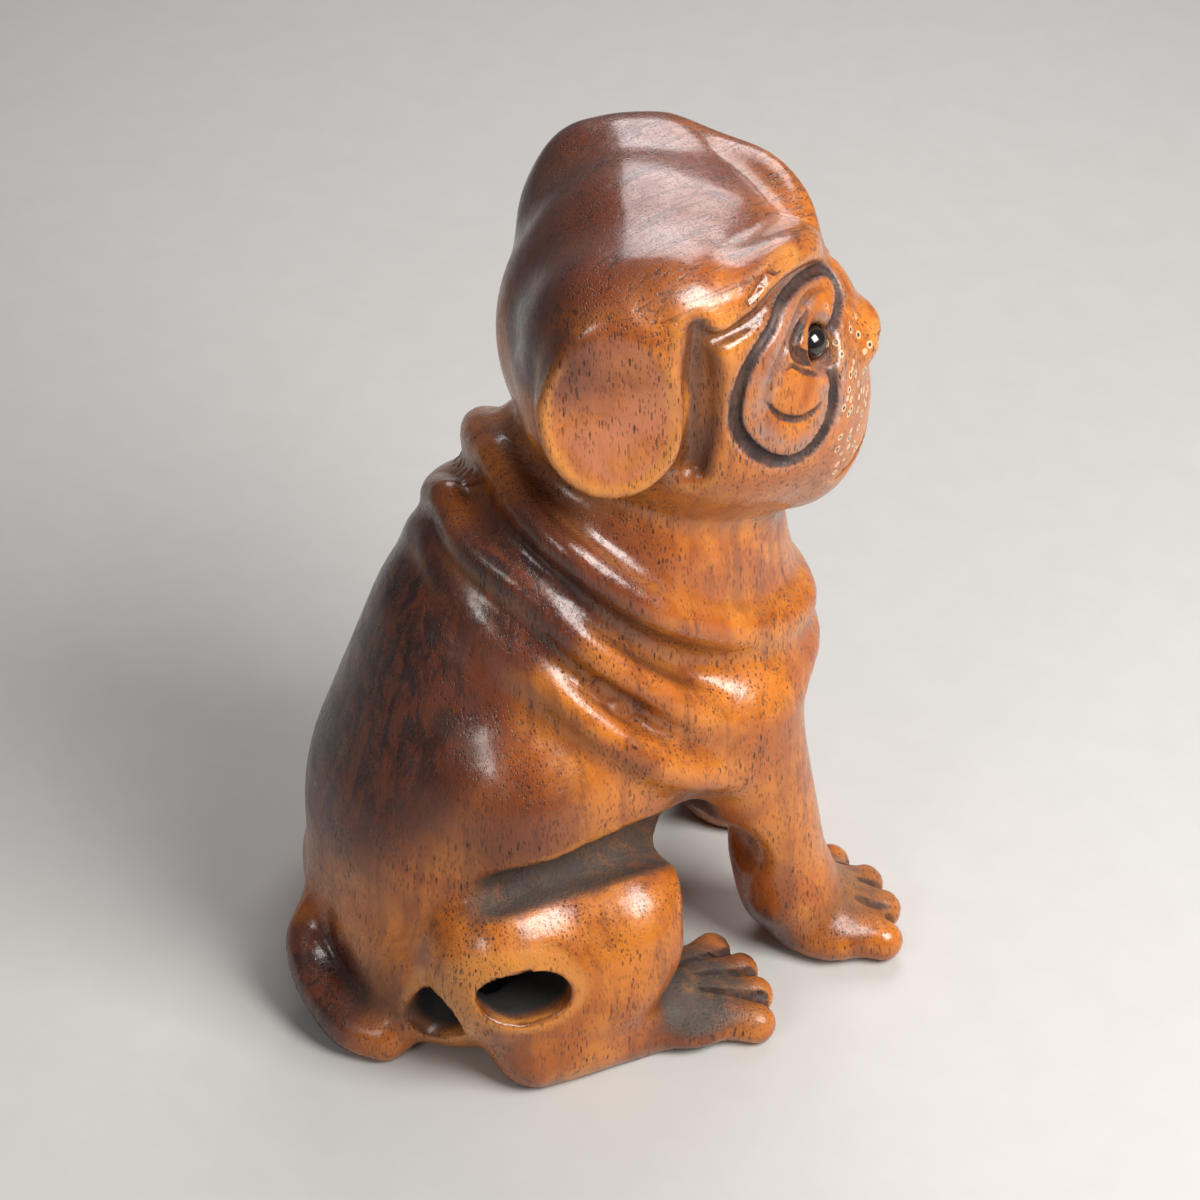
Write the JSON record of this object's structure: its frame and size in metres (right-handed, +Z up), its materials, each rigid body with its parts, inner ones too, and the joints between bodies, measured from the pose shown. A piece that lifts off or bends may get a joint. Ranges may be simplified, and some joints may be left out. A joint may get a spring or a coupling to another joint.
{
  "type": "netsuke",
  "caption": "Seated puppy netsuke carved in polished wood, with inlaid dark eyes, loose neck folds and a cord tunnel through the haunch.",
  "frame": {"origin": "middle of the bounding box, on the plane the soles stand on", "axes": "+Z up through the crown, -Y the way the chest faces, -X the puppy's right side, which the picture shows"},
  "size_m": [0.0294, 0.0358, 0.05],
  "materials": {
    "wood": "stained, waxed and hand-polished boxwood",
    "horn": "black, polished to a gloss"
  },
  "bodies": {
    "root": {"dog": "wood", "eye_right": "horn", "eye_left": "horn"}
  },
  "joints": []
}
